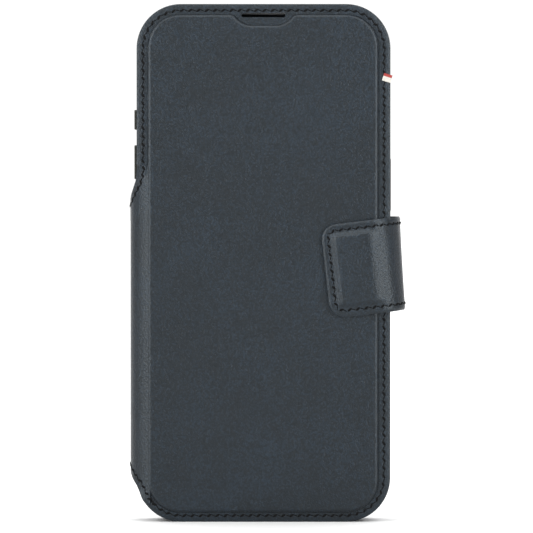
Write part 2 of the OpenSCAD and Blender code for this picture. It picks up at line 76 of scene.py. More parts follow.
bpy.context.scene.view_settings.view_transform = "Standard"
world = bpy.data.worlds.new("white room")
bpy.context.scene.world = world
world.use_nodes = True
nodes, link = world.node_tree.nodes, world.node_tree.links.new
sight = nodes.new("ShaderNodeTexCoord")
apart = nodes.new("ShaderNodeSeparateXYZ")
behind = nodes.new("ShaderNodeMapRange")
behind.inputs["From Min"].default_value = 0.5
behind.inputs["From Max"].default_value = 0.85
above = nodes.new("ShaderNodeMapRange")
above.inputs["From Min"].default_value = 0.2
above.inputs["From Max"].default_value = 0.75
above.inputs["To Max"].default_value = 1.25
most = nodes.new("ShaderNodeMath")
most.operation = "MAXIMUM"
lift = nodes.new("ShaderNodeMath")
lift.operation = "ADD"
lift.inputs[1].default_value = 0.2
seen = nodes.new("ShaderNodeLightPath")
plain = nodes.new("ShaderNodeMix")
plain.inputs["B"].default_value = 1.05
link(sight.outputs["Generated"], apart.inputs["Vector"])
link(apart.outputs["Y"], behind.inputs["Value"])
link(apart.outputs["Z"], above.inputs["Value"])
link(behind.outputs["Result"], most.inputs[0])
link(above.outputs["Result"], most.inputs[1])
link(most.outputs["Value"], lift.inputs[0])
link(seen.outputs["Is Camera Ray"], plain.inputs["Factor"])
link(lift.outputs["Value"], plain.inputs["A"])
link(plain.outputs["Result"], nodes["Background"].inputs["Strength"])
nodes["Background"].inputs["Color"].default_value = (1, 1, 1, 1)

bpy.ops.object.select_all(action="DESELECT")
bpy.ops.mesh.primitive_plane_add(size=60, location=(0, 0, 0))
table = bpy.context.object
table.name = "table"
table_paint = bpy.data.materials.new("pale table")
table_paint.use_nodes = True
table_paint.node_tree.nodes["Principled BSDF"].inputs["Base Color"].default_value = (0.88, 0.88, 0.88, 1)
table_paint.node_tree.nodes["Principled BSDF"].inputs["Roughness"].default_value = 0.9
table_paint.node_tree.nodes["Principled BSDF"].inputs["Specular IOR Level"].default_value = 0.1
table.data.materials.append(table_paint)
off_table = bpy.data.collections.new("lit by the softboxes")
off_table.objects.link(table)
off_table.collection_objects[0].light_linking.link_state = "EXCLUDE"


def lamp(name, kind, power, place, tilt, turn, lit):
    """A lamp at a point in millimetres, tilted up from straight down and then turned, in degrees."""
    made = bpy.data.objects.new(name, bpy.data.lights.new(name, kind))
    bpy.context.scene.collection.objects.link(made)
    made.data.energy = power
    made.location = at(*place)
    made.rotation_euler = (math.radians(tilt), 0, math.radians(turn))
    made.light_linking.receiver_collection = lit
    return made.data


side_reach = 900
for side, turn in (("left", -47), ("right", 47)):
    place = (side_reach * math.sin(math.radians(turn)), -side_reach * math.cos(math.radians(turn)), 150)
    softbox = lamp("softbox_" + side, "AREA", 11, place, 90, turn, off_table)
    softbox.shape = "RECTANGLE"
    softbox.size, softbox.size_y = 0.45, 1.1
softbox = lamp("softbox_top", "AREA", 4, (0, -600, 950), 36, 0, off_table)
softbox.shape = "RECTANGLE"
softbox.size, softbox.size_y = 0.9, 0.4
on_table = bpy.data.collections.new("lit by the wide overhead light")
on_table.objects.link(table)
lamp("wide_overhead", "SUN", 1.6, (0, 0, 0), 0, 0, on_table).angle = math.radians(120)

# ---- Cover leather ----
# One skin of fine-grained calf leather, pressed over a board so that its middle stands up from the margin.
# The margin has a slot over the phone's earpiece, and the panel dips under it.

left, right, cover_top, corner_r = -40.85, 40.85, 166.8, 14.3
margin_y, leather_back = 1.21, 1.7
panel_left, panel_right, panel_low, panel_top = -37.15, 36.75, 3.2, 163.3
panel_r, panel_foot_y = 10.2, 0.53
dip_half, dip_foot_half, dip_deep = 10.65, 6.95, 3.4
crease_x, notch_low, notch_top = -37.4, 5.7, 115.1


def blank(name, x0, x1, y0, y1, z0, z1):
    """A block between those sizes, in millimetres."""
    bpy.ops.object.select_all(action="DESELECT")
    low, high = at(x0, y0, z0), at(x1, y1, z1)
    bpy.ops.mesh.primitive_cube_add(size=1, location=(low + high) / 2, scale=high - low)
    bpy.ops.object.transform_apply(location=True, rotation=True, scale=True)
    piece = bpy.context.object
    piece.name = name
    return piece


def pick(piece, kind, wanted):
    """Opens the piece for editing and selects the edges or faces whose corners, in mm, pass the test."""
    if bpy.context.object and bpy.context.object.mode != "OBJECT":
        bpy.ops.object.mode_set(mode="OBJECT")
    bpy.ops.object.select_all(action="DESELECT")
    piece.select_set(True)
    bpy.context.view_layer.objects.active = piece
    bpy.ops.object.mode_set(mode="EDIT")
    bpy.ops.mesh.select_mode(type=kind)
    bpy.ops.mesh.select_all(action="DESELECT")
    shape = bmesh.from_edit_mesh(piece.data)
    for part in shape.edges if kind == "EDGE" else shape.faces:
        corners = np.array([(v.co - at(0, 0, 0)) * 1000 for v in part.verts])
        if wanted(corners):
            part.select_set(True)
    bmesh.update_edit_mesh(piece.data)


def slab(name, x0, x1, z0, z1, y0, y1, radii, steps=16):
    """A blank with rounded corners, given as lower left, lower right, upper right and upper left."""
    piece = blank(name, x0, x1, y0, y1, z0, z1)
    for radius, x, z in zip(radii, (x0, x1, x1, x0), (z0, z0, z1, z1)):
        pick(piece, "EDGE", lambda p: abs(p[:, 0] - x).max() < 0.01 and abs(p[:, 2] - z).max() < 0.01)
        bpy.ops.mesh.bevel(offset=radius * 0.001, segments=steps, affect="EDGES")
        bpy.ops.object.mode_set(mode="OBJECT")
    return piece


def press(piece, y, rings):
    """Presses the face at that depth into rings, each so far in and so far out."""
    pick(piece, "FACE", lambda p: abs(p[:, 1] - y).max() < 0.005)
    for inward, outward in rings:
        bpy.ops.mesh.inset(thickness=inward * 0.001, depth=outward * 0.001)
    bpy.ops.object.mode_set(mode="OBJECT")


def cut(piece, tool, way="DIFFERENCE"):
    """Cuts the piece with the tool, or joins the two, and takes the tool away."""
    bpy.ops.object.select_all(action="DESELECT")
    bpy.context.view_layer.objects.active = piece
    piece.select_set(True)
    change = piece.modifiers.new("cut", "BOOLEAN")
    change.operation = way
    change.solver = "EXACT"
    change.object = tool
    bpy.ops.object.modifier_apply(modifier=change.name)
    bpy.data.objects.remove(tool)


def smooth(piece, angle=40):
    """Shades the piece smooth, with its flats kept flat."""
    bpy.ops.object.select_all(action="DESELECT")
    bpy.context.view_layer.objects.active = piece
    piece.select_set(True)
    bpy.ops.object.shade_smooth_by_angle(angle=math.radians(angle))
    even = piece.modifiers.new("even", "WEIGHTED_NORMAL")
    even.keep_sharp = True
    bpy.ops.object.modifier_apply(modifier=even.name)


def raised(name, grow, y0, y1, dip=True, top=panel_top, top_radius=panel_r):
    """The raised panel's outline between two depths, grown by a margin."""
    low_r, high_r = panel_r + grow, top_radius + grow
    piece = slab(name, panel_left - grow, panel_right + grow, panel_low - grow, top + grow, y0, y1,
                 (low_r, low_r, high_r, high_r), 18)
    if not dip:
        return piece
    half = dip_half - grow
    hollow = blank("dip", -half, half, y0 - 1, y1 + 1, top - dip_deep + grow, top + grow + 1)
    pick(hollow, "FACE", lambda p: p[:, 2].max() < top)
    bpy.ops.transform.resize(value=((dip_foot_half - grow) / half, 1, 1), center_override=at(0, 0, top))
    pick(hollow, "EDGE", lambda p: p[:, 2].max() < top and abs(p[0, 0] - p[1, 0]) < 0.01)
    bpy.ops.mesh.bevel(offset=0.0028, segments=8, affect="EDGES")
    bpy.ops.object.mode_set(mode="OBJECT")
    cut(piece, hollow)
    pick(piece, "EDGE", lambda p: abs(p[:, 2] - top - grow).max() < 0.01 and abs(p[0, 0] - p[1, 0]) < 0.01
         and abs(p[0, 0]) < half + 0.5)
    bpy.ops.mesh.bevel(offset=0.0011, segments=5, affect="EDGES")
    bpy.ops.object.mode_set(mode="OBJECT")
    return piece


edge_rings = [(0.1, 0.11), (0.2, 0.08), (0.5, 0.09), (0.85, 0.13), (0.25, -0.06), (0.3, 0), (0.25, 0.06)]
ridge_rings = [(0.05, 0.13), (0.07, 0.08), (0.24, 0.155), (0.28, 0.12), (0.2, 0.03), (0.3, 0.015)]


def cut_spine_side(piece, y0, y1):
    """Cuts away the margin where the spine joins."""
    cut(piece, blank("notch", left - 5, crease_x, y0, y1, notch_low, notch_top))


def cut_earpiece(piece):
    """Cuts the slot over the phone's earpiece."""
    cut(piece, slab("slot", -7.1, 7.1, cover_top - 4.275, cover_top - 2.925, 0, 4, (0.6,) * 4, 6))


cover_skin = slab("cover_skin", left, right, 0, cover_top, margin_y, leather_back, (corner_r,) * 4, 24)
press(cover_skin, margin_y, edge_rings)
cut_spine_side(cover_skin, 0, 4)
cut_earpiece(cover_skin)
groove = raised("groove", 0.25, 0.3, 1.05)
groove_shift = Matrix.Translation((0.00028, 0, -0.00012))
groove.data.transform(groove_shift)
cut(cover_skin, groove)
cover_panel = raised("cover_panel", 0, panel_foot_y, 1.4)
press(cover_panel, panel_foot_y, ridge_rings)
cut(cover_skin, cover_panel, "UNION")
cut(cover_skin, raised("board_pocket", -0.9, 0.9, 3))
smooth(cover_skin)


def paint(name, colour, roughness, level=0.5):
    """A new plain material, and its shader."""
    made = bpy.data.materials.new(name)
    made.use_nodes = True
    shader = made.node_tree.nodes["Principled BSDF"]
    shader.inputs["Base Color"].default_value = (*colour, 1)
    shader.inputs["Roughness"].default_value = roughness
    shader.inputs["Specular IOR Level"].default_value = level
    return made, shader


def grained(name, colour, pale, roughness, level, cell, depth, weight=0.5):
    """Grained leather: pebbles with fine pits between them, drawn out a little along one slant. Its colour is
    a random tone plus painted highlight on the pebble tops and painted shade in the pits.
    """
    made, shader = paint(name, colour, roughness, level)
    nodes, link = made.node_tree.nodes, made.node_tree.links.new
    where = nodes.new("ShaderNodeTexCoord")
    turn = nodes.new("ShaderNodeMapping")
    turn.inputs["Rotation"].default_value = (0, math.radians(40), 0)
    turn.inputs["Scale"].default_value = (1, 1, 0.78)
    link(where.outputs["Object"], turn.inputs["Vector"])
    pebble = nodes.new("ShaderNodeTexVoronoi")
    pebble.feature = "SMOOTH_F1"
    pebble.inputs["Scale"].default_value = 1 / cell
    pebble.inputs["Smoothness"].default_value = 0.4
    link(turn.outputs["Vector"], pebble.inputs["Vector"])
    pores = nodes.new("ShaderNodeTexNoise")
    pores.inputs["Scale"].default_value = 0.7 / cell
    pores.inputs["Detail"].default_value = 5
    pores.inputs["Roughness"].default_value = 0.65
    link(turn.outputs["Vector"], pores.inputs["Vector"])
    tone = nodes.new("ShaderNodeTexNoise")
    tone.inputs["Scale"].default_value = 55
    tone.inputs["Detail"].default_value = 3
    link(where.outputs["Object"], tone.inputs["Vector"])
    height = nodes.new("ShaderNodeMath")
    height.operation = "MULTIPLY_ADD"
    height.inputs[1].default_value = weight
    link(pebble.outputs["Distance"], height.inputs[0])
    link(pores.outputs["Fac"], height.inputs[2])
    bump = nodes.new("ShaderNodeBump")
    bump.inputs["Strength"].default_value = 1
    bump.inputs["Distance"].default_value = depth
    bump.invert = True
    link(height.outputs["Value"], bump.inputs["Height"])
    link(bump.outputs["Normal"], shader.inputs["Normal"])
    # Colour from the random tone plus the pebble height: paler tops as painted highlight, darker pits as
    # painted shade.
    spread = nodes.new("ShaderNodeMath")
    spread.operation = "MULTIPLY_ADD"
    spread.inputs[1].default_value = 0.35
    link(tone.outputs["Fac"], spread.inputs[0])
    link(height.outputs["Value"], spread.inputs[2])
    tone_and_painted_grain_light = nodes.new("ShaderNodeValToRGB")
    tone_and_painted_grain_light.color_ramp.elements[0].color = (*pale, 1)
    tone_and_painted_grain_light.color_ramp.elements[1].color = (*colour, 1)
    tone_and_painted_grain_light.color_ramp.elements[0].position = 0.5
    tone_and_painted_grain_light.color_ramp.elements[1].position = 0.7
    weaken = nodes.new("ShaderNodeMath")
    weaken.operation = "MULTIPLY"
    weaken.inputs[1].default_value = 0.7
    link(spread.outputs["Value"], weaken.inputs[0])
    link(weaken.outputs["Value"], tone_and_painted_grain_light.inputs["Fac"])
    link(tone_and_painted_grain_light.outputs["Color"], shader.inputs["Base Color"])
    return made


tones = (0.0003, 0.0013, 0.0029), (0.0043, 0.0098, 0.0174)
cool_gloss = (0.86, 0.95, 1, 1)
leather = grained("outer leather", *tones, 0.37, 0.44, 0.0005, 0.00015)
leather.node_tree.nodes["Principled BSDF"].inputs["Specular Tint"].default_value = cool_gloss


def dress(piece, material, body, slot, *nodes):
    """Gives the piece its one material and its body, and takes the place of those parts of the model."""
    piece.data.materials.clear()
    piece.data.materials.append(material)
    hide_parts(*nodes)
    if body:
        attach(piece, body)


dress(cover_skin, leather, "front_cover", "leather", "cover_leather")

# ---- Sewing thread ----
# Waxed black polyester thread, sewn by machine. Each stitch lies aslant and dives into a small hole,
# where it pulls the leather down. The bold part of each stitch is thread widened into painted shade of its
# hole.

thread, _ = paint("waxed thread and painted hole shade", (0.0012, 0.0013, 0.0015), 0.8, 0.15)
nodes, link = thread.node_tree.nodes, thread.node_tree.links.new
where = nodes.new("ShaderNodeTexCoord")
ply = nodes.new("ShaderNodeTexWave")
ply.inputs["Scale"].default_value = 900
ply.bands_direction = "DIAGONAL"
ply_bump = nodes.new("ShaderNodeBump")
ply_bump.inputs["Distance"].default_value = 0.00004
link(where.outputs["Object"], ply.inputs["Vector"])
link(ply.outputs["Fac"], ply_bump.inputs["Height"])
link(ply_bump.outputs["Normal"], nodes["Principled BSDF"].inputs["Normal"])


def stitch_part(long, wide, high, along, turn):
    """One rounded length of thread, in millimetres, about the origin."""
    bpy.ops.object.select_all(action="DESELECT")
    on_side = (0, math.pi / 2, 0)
    bpy.ops.mesh.primitive_uv_sphere_add(segments=8, ring_count=5, radius=0.0005, rotation=on_side)
    bpy.ops.object.transform_apply(location=True, rotation=True, scale=True)
    part = bpy.context.object
    part.data.transform(Matrix.Diagonal((long, wide, high, 1)))
    slant = Matrix.Rotation(math.radians(turn), 4, "Z")
    part.data.transform(Matrix.Translation((along * 0.001, 0, 0)) @ slant)
    return part


def one_stitch():
    """A bold slanting stitch, partly thread and partly painted shade of its hole, with a thinner one leading
    to the next hole.
    """
    # Bold part: near-black thread drawn wide, standing in as painted shade of the stitch hole.
    thread_and_hole_shade = stitch_part(1.6, 0.78, 0.46, 0, 36)
    thin = stitch_part(1.75, 0.3, 0.26, 1.3, -24)
    bpy.ops.object.select_all(action="DESELECT")
    thin.select_set(True)
    thread_and_hole_shade.select_set(True)
    bpy.context.view_layer.objects.active = thread_and_hole_shade
    bpy.ops.object.join()
    bpy.ops.object.shade_smooth()
    return thread_and_hole_shade


def sew(name, path, outward, pitch=2.65):
    """Sews along a path of points in millimetres, whose outward directions are given too."""
    path, outward = np.array(path, float), np.array(outward, float)
    run = np.concatenate([[0], np.cumsum(np.linalg.norm(np.diff(path, axis=0), axis=1))])
    count = max(1, round(run[-1] / pitch))
    first = one_stitch()
    made = []
    for k in range(count):
        here, ahead = (k + 0.5) * run[-1] / count, (k + 0.6) * run[-1] / count
        spot = np.array([np.interp(here, run, path[:, i]) for i in range(3)])
        later = np.array([np.interp(ahead, run, path[:, i]) for i in range(3)])
        up = Vector([np.interp(here, run, outward[:, i]) for i in range(3)]).normalized()
        along = Vector(later - spot).normalized()
        side = up.cross(along).normalized()
        copy = first.copy()
        copy.data = first.data.copy()
        aim = Matrix((up.cross(side) * -1, side, up)).transposed().to_4x4()
        copy.data.transform(Matrix.Translation(at(*spot)) @ aim)
        bpy.context.scene.collection.objects.link(copy)
        made.append(copy)
    bpy.data.objects.remove(first)
    bpy.ops.object.select_all(action="DESELECT")
    for copy in made:
        copy.select_set(True)
    bpy.context.view_layer.objects.active = made[0]
    bpy.ops.object.join()
    made[0].name = name
    made[0].data.materials.clear()
    made[0].data.materials.append(thread)
    return made[0]


def arc(x, z, r, a0, a1, steps=14):
    """Points of an arc in millimetres, with its angles in degrees."""
    return [(x + r * math.cos(math.radians(a)), z + r * math.sin(math.radians(a)))
            for a in np.linspace(a0, a1, steps)]


sew_in, thread_y = 2.05, 0.82
corner = corner_r - sew_in
foot_line = arc(right - corner_r, corner_r, corner, 0, -90)
foot_line += arc(left + corner_r, corner_r, corner, -90, -141)
outline = [(left + sew_in, notch_top - 0.2)]
outline += arc(left + corner_r, cover_top - corner_r, corner, 180, 90)
outline += arc(right - corner_r, cover_top - corner_r, corner, 90, 0) + foot_line
cover_stitches = sew("cover_stitches", [(x, thread_y, z) for x, z in outline], [(0, -1, 0)] * len(outline))
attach(cover_stitches, "front_cover")

# ---- Cover lining and pockets ----
# A microfibre lining behind the cover, with one wide pocket for notes and three card pockets sewn on to it.
# The pockets are thin split leather, stepped so that each card shows.


def rim(piece, y):
    """Rounds the edge of a thin sheet's face at that depth, and then the rounding's own inner edge."""
    for _ in range(2):
        pick(piece, "EDGE", lambda p: abs(p[:, 1] - y).max() < 0.004)
        bpy.ops.mesh.bevel(offset=0.0001, segments=2, affect="EDGES")
        bpy.ops.object.mode_set(mode="OBJECT")


def napped(name, colour, pale):
    """Microfibre: a short soft nap that catches light at a glance."""
    made, shader = paint(name, colour, 0.95, 0.2)
    shader.inputs["Sheen Weight"].default_value = 0.35
    shader.inputs["Sheen Roughness"].default_value = 0.4
    nodes, link = made.node_tree.nodes, made.node_tree.links.new
    where = nodes.new("ShaderNodeTexCoord")
    nap = nodes.new("ShaderNodeTexNoise")
    nap.inputs["Scale"].default_value = 2600
    nap.inputs["Detail"].default_value = 3
    brushed = nodes.new("ShaderNodeTexNoise")
    brushed.inputs["Scale"].default_value = 120
    brushed.inputs["Detail"].default_value = 2
    both = nodes.new("ShaderNodeMath")
    both.operation = "MULTIPLY_ADD"
    both.inputs[1].default_value = 0.4
    tint = nodes.new("ShaderNodeValToRGB")
    tint.color_ramp.elements[0].position = 0.55
    tint.color_ramp.elements[0].color = (*colour, 1)
    tint.color_ramp.elements[1].position = 0.95
    tint.color_ramp.elements[1].color = (*pale, 1)
    bump = nodes.new("ShaderNodeBump")
    bump.inputs["Distance"].default_value = 0.00006
    for texture in (nap, brushed):
        link(where.outputs["Object"], texture.inputs["Vector"])
    link(brushed.outputs["Fac"], both.inputs[0])
    link(nap.outputs["Fac"], both.inputs[2])
    link(both.outputs["Value"], tint.inputs["Fac"])
    link(tint.outputs["Color"], shader.inputs["Base Color"])
    link(nap.outputs["Fac"], bump.inputs["Height"])
    link(bump.outputs["Normal"], shader.inputs["Normal"])
    return made


microfibre = napped("microfibre", (0.016, 0.018, 0.021), (0.034, 0.037, 0.041))
split_tones = (0.012, 0.0165, 0.023), (0.021, 0.028, 0.037)
split_leather = grained("pocket leather", *split_tones, 0.58, 0.35, 0.0005, 0.00004)

lining_back, sheet = 2.1, 0.35
cover_lining = slab("cover_backing", left, right, 0, cover_top, leather_back, lining_back,
                    (corner_r,) * 4, 24)
cut_spine_side(cover_lining, 0, 4)
cut_earpiece(cover_lining)
rim(cover_lining, lining_back)
smooth(cover_lining)
dress(cover_lining, microfibre, "front_cover", "microfibre", "cover_lining")

cash_top = panel_top - 12.1
cash_back = 2.45
cash = slab("note_pocket", panel_left, panel_right, panel_low, cash_top, lining_back, cash_back,
            (panel_r,) * 4, 12)
rim(cash, cash_back)
smooth(cash)
dress(cash, split_leather, "front_cover", "pocket_leather", "cash_pocket")
cash_in, seam_r = 1.4, 8.8
seam = [(panel_left + cash_in, cash_top - 9)]
seam += arc(panel_left + panel_r, panel_low + panel_r, seam_r, 180, 270)
seam += arc(panel_right - panel_r, panel_low + panel_r, seam_r, -90, 0)
seam += [(panel_right - cash_in, cash_top - 9)]
proud = 0.02
seam = [(x, cash_back + proud, z) for x, z in seam]
cash_stitches = sew("note_pocket_stitches", seam, [(0, 1, 0)] * len(seam))
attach(cash_stitches, "front_cover")

card_left, card_right, card_low = panel_left + 4.6, panel_right - 4.6, 4.1
card_r, card_tall, card_step, card_in = 5, 112, 14, 1.3
for k in range(3):
    near, card_top = cash_back + sheet * k, card_low + card_tall - card_step * k
    card = slab(f"card_sleeve_{k + 1}", card_left, card_right, card_low, card_top, near, near + sheet,
                (card_r, card_r, 1, 1), 8)
    bpy.ops.object.select_all(action="DESELECT")
    bpy.ops.mesh.primitive_cylinder_add(vertices=64, radius=0.012, depth=0.004, rotation=(math.pi / 2, 0, 0),
                                        location=at(0.1, near, card_top))
    bpy.ops.object.transform_apply(location=False, rotation=True, scale=True)
    thumb = bpy.context.object
    thumb.scale = (1, 1, 4 / 12)
    bpy.ops.object.transform_apply(location=True, rotation=True, scale=True)
    cut(card, thumb)
    rim(card, near + sheet)
    smooth(card)
    dress(card, split_leather, "front_cover", "pocket_leather", f"card_pocket_{k + 1}")
seam_top, seam_r = 100, card_r - card_in
seam = [(card_left + card_in, seam_top)] + arc(card_left + card_r, card_low + card_r, seam_r, 180, 270)
seam += arc(card_right - card_r, card_low + card_r, seam_r, -90, 0) + [(card_right - card_in, seam_top)]
seam = [(x, cash_back + sheet * (2 if z == seam_top else 3) + proud, z) for x, z in seam]
card_stitches = sew("card_sleeve_stitches", seam, [(0, 1, 0)] * len(seam))
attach(card_stitches, "front_cover")

# ---- Spine ----
# A second, thinner skin that swells round the phone's buttons, and runs into the panels at its two creases.
# It is scooped at both ends, lined with microfibre and sewn along its scoops.

case_depth = 17.1
mid_depth = case_depth / 2
spine_x, spine_bent_x = -36.55, -38.55
swell = np.array([(spine_x, 0.14), (-40.7, 1.95), (-43.15, 4.25), (-43.15, mid_depth)])
steps = np.linspace(0, 1, 300)[:, None]
curve = ((1 - steps) ** 3 * swell[0] + 3 * (1 - steps) ** 2 * steps * swell[1]
         + 3 * (1 - steps) * steps ** 2 * swell[2] + steps ** 3 * swell[3])
reach = np.concatenate([[0], np.cumsum(np.linalg.norm(np.diff(curve, axis=0), axis=1))])
spine_span = reach[-1]
scoop_low = ([0, 1.45, 2.45, 4.15, 5.4, 7.2, 9.0, 10.2, spine_span],
             [5.75, 5.75, 6.9, 10.1, 11.8, 13.4, 15.0, 15.9, 16.4])
scoop_high = ([0, 4.05, 4.45, 5.4, 6.8, 7.7, 8.9, 9.8, spine_span],
              [115.05, 115.05, 112.6, 110.0, 108.1, 106.8, 105.5, 104.6, 103.9])


def spine_at(s, z, depth):
    """A point on the spine's front half, s along its section from the panel, at a depth under its face."""
    flat = np.stack([spine_x - s, np.interp(s, [0, 0.7, 20], [0.5, 0.85, 0.85])], -1)
    bent = np.stack([np.interp(s, reach, curve[:, i]) for i in range(2)], -1)
    rise = np.clip(np.minimum((115.6 - z) / 8, (z - 3.5) / 9), 0, 1)
    share = (rise * rise * (3 - 2 * rise))[..., None]
    spot = flat * (1 - share) + bent * share
    step = 0.01
    flat_on = np.array([-step, 0])
    bent_on = np.stack([np.interp(s + step, reach, curve[:, i]) for i in range(2)], -1)
    bent_back = np.stack([np.interp(s - step, reach, curve[:, i]) for i in range(2)], -1)
    heading = flat_on * (1 - share) + (bent_on - bent_back) / 2 * share
    heading = heading / np.linalg.norm(heading, axis=-1, keepdims=True)
    inward = np.stack([heading[..., 1], -heading[..., 0]], -1)
    spot = spot + inward * depth
    outward = np.stack([-inward[..., 0], -inward[..., 1], 0 * z], -1)
    return np.stack([spot[..., 0], spot[..., 1], z], -1), outward


def spine_half(name, depth, thickness, back):
    """One layer of half the spine, crease to mid depth, with rows crowded at its ends and its middle."""
    bpy.ops.object.select_all(action="DESELECT")
    bpy.ops.mesh.primitive_grid_add(x_subdivisions=46, y_subdivisions=120, size=1)
    piece = bpy.context.object
    piece.name = name
    grid = np.array([v.co for v in piece.data.vertices]) + 0.5
    s = grid[:, 0] * spine_span
    low, high = np.interp(s, *scoop_low), np.interp(s, *scoop_high)
    crowded = grid[:, 1] - 0.12 * np.sin(4 * math.pi * grid[:, 1]) / math.pi
    z = low + (high - low) * crowded
    spots, _ = spine_at(s, z, depth)
    if back:
        spots[:, 1] = case_depth - spots[:, 1]
    for v, spot in zip(piece.data.vertices, spots):
        v.co = at(*spot)
    if not back:
        piece.data.flip_normals()
    wall = piece.modifiers.new("wall", "SOLIDIFY")
    wall.thickness = thickness * 0.001
    wall.offset = -1
    bpy.ops.object.modifier_apply(modifier=wall.name)
    soften = piece.modifiers.new("soften", "BEVEL")
    soften.width = 0.00012
    soften.segments = 2
    soften.limit_method = "ANGLE"
    soften.angle_limit = math.radians(60)
    bpy.ops.object.modifier_apply(modifier=soften.name)
    bpy.ops.object.shade_smooth_by_angle(angle=math.radians(50))
    return piece


def sideways(path, away):
    """The path of a seam that runs beside an edge, both in the flat pattern."""
    path = np.array(path, float)
    run = np.gradient(path, axis=0)
    run /= np.linalg.norm(run, axis=1, keepdims=True)
    return path + np.stack([run[:, 1], -run[:, 0]], -1) * away


for back, body, end in ((False, "front_cover", "front"), (True, "wallet_back", "back")):
    skin = spine_half(f"spine_skin_{end}", 0, 0.6, back)
    dress(skin, leather, None, "leather", "spine_leather")
    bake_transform(skin)
    backing = spine_half(f"spine_backing_{end}", 0.6, 0.3, back)
    dress(backing, microfibre, None, "microfibre", "spine_lining")
    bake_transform(backing)
    for name, (s, z), away in (("top", scoop_high, 2.1), ("foot", scoop_low, -2.1)):
        fine = np.linspace(4.15 if name == "top" else 1.6, spine_span, 30)
        pattern = sideways(np.stack([fine, np.interp(fine, s, z)], -1), away)
        pattern = pattern[pattern[:, 0] < spine_span]
        pattern = np.vstack([[1.9, 115.2] if name == "top" else [1.2, 8.2], pattern])
        spots, ways = spine_at(pattern[:, 0], pattern[:, 1], -0.02)
        if back:
            spots[:, 1], ways[:, 1] = case_depth - spots[:, 1], -ways[:, 1]
        run = sew(f"spine_stitches_{name}_{end}", spots, ways, 2.4)
        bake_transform(run)

# ---- Back panel ----
# The same leather over a second board, cut off under the camera so that the tray's leather shows above it.
# Magnets under the leather hold the tray.

back_top, back_r = 118.8, 5
back_panel_top = back_top - 4.1
back_corners = (corner_r, corner_r, back_r, back_r)


def to_back(piece):
    """Turns a piece made facing forwards so that it faces backwards."""
    across = Matrix.Translation((0, 2 * at(0, mid_depth, 0).y, 0))
    piece.data.transform(across @ Matrix.Diagonal((1, -1, 1, 1)))
    piece.data.flip_normals()


back_skin = slab("back_skin", left, right, 0, back_top, margin_y, leather_back, back_corners, 20)
press(back_skin, margin_y, edge_rings)
cut_spine_side(back_skin, 0, 4)
cut(back_skin, raised("groove", 0.3, 0.3, 1.0, False, back_panel_top, back_r))
back_panel = raised("back_panel", 0, panel_foot_y, 1.4, False, back_panel_top, back_r)
press(back_panel, panel_foot_y, ridge_rings)
cut(back_skin, back_panel, "UNION")
cut(back_skin, raised("board_pocket", -0.9, 0.9, 3, False, back_panel_top, back_r))
to_back(back_skin)
smooth(back_skin)
dress(back_skin, leather, "wallet_back", "leather", "back_leather")

back_lining_y = case_depth - lining_back
back_lining = slab("back_backing", left, right, 0, back_top, back_lining_y, case_depth - leather_back,
                   back_corners, 20)
cut_spine_side(back_lining, 14, 17)
rim(back_lining, back_lining_y)
smooth(back_lining)
dress(back_lining, microfibre, "wallet_back", "microfibre", "back_lining")

outline = arc(left + back_r, back_top - back_r, back_r - sew_in, 168, 90)
outline += arc(right - back_r, back_top - back_r, back_r - sew_in, 90, 0) + foot_line
outline = [(x, case_depth - thread_y, z) for x, z in outline]
back_stitches = sew("back_stitches", outline, [(0, 1, 0)] * len(outline))
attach(back_stitches, "wallet_back")

# ---- Strap ----
# A leather strap sewn to the back panel. It bends round the right side and closes on the cover by a magnet,
# which makes the pad near its tip. Its front half droops a little, as a used strap does.

strap_mid, strap_half, strap_corner, strap_sew_in = 83.4, 15.05, 5.0, 2.1
edge_fall, edge_wide, seam_dent = 0.26, 0.75, 0.08
pad_high, pad_start, pad_full, pad_falls, pad_end = 0.95, 2.6, 4.6, 14.6, 18.6
droop_angle, droop_x, droop_from, droop_to = 6.5, 44.7, 42, 21
section = [(11.75, 18.4), (20, 18.4), (30, 18.4), (34.5, 18.4), (36.5, 18.38), (38.6, 18.2), (40.6, 17.6),
           (42.3, 16.4), (43.7, 14.4), (44.6, 11.8), (44.95, 9.2), (44.9, 7.2), (44.65, 5.3), (44.2, 3.9),
           (43.5, 2.65), (42.6, 1.3), (41.65, 0.2), (40.45, -0.85), (39.2, -1.55), (37.8, -2.0),
           (36.2, -2.2), (34, -2.1), (30, -1.8), (25, -1.55), (19.75, -1.5)]


def rounded(points, count):
    """A smooth path through the points, evenly spaced."""
    points = np.array(points, float)
    ends = np.vstack([2 * points[0] - points[1], points, 2 * points[-1] - points[-2]])
    made = []
    for a, b, c, d in zip(ends, ends[1:], ends[2:], ends[3:]):
        for t in np.linspace(0, 1, 12, endpoint=False):
            made.append(0.5 * (2 * b + (c - a) * t + (2 * a - 5 * b + 4 * c - d) * t * t
                               + (3 * b - a - 3 * c + d) * t ** 3))
    made = np.array(made + [points[-1]])
    run = np.concatenate([[0], np.cumsum(np.linalg.norm(np.diff(made, axis=0), axis=1))])
    places = np.linspace(0, run[-1], count)
    return np.stack([np.interp(places, run, made[:, i]) for i in range(made.shape[1])], -1), run[-1]


strap_path, strap_length = rounded(section, 600)
strap_run = np.linspace(0, strap_length, 600)


def ease(value, low, high):
    """Goes smoothly from 0 at low to 1 at high."""
    t = np.clip((value - low) / (high - low), 0, 1)
    return t * t * (3 - 2 * t)


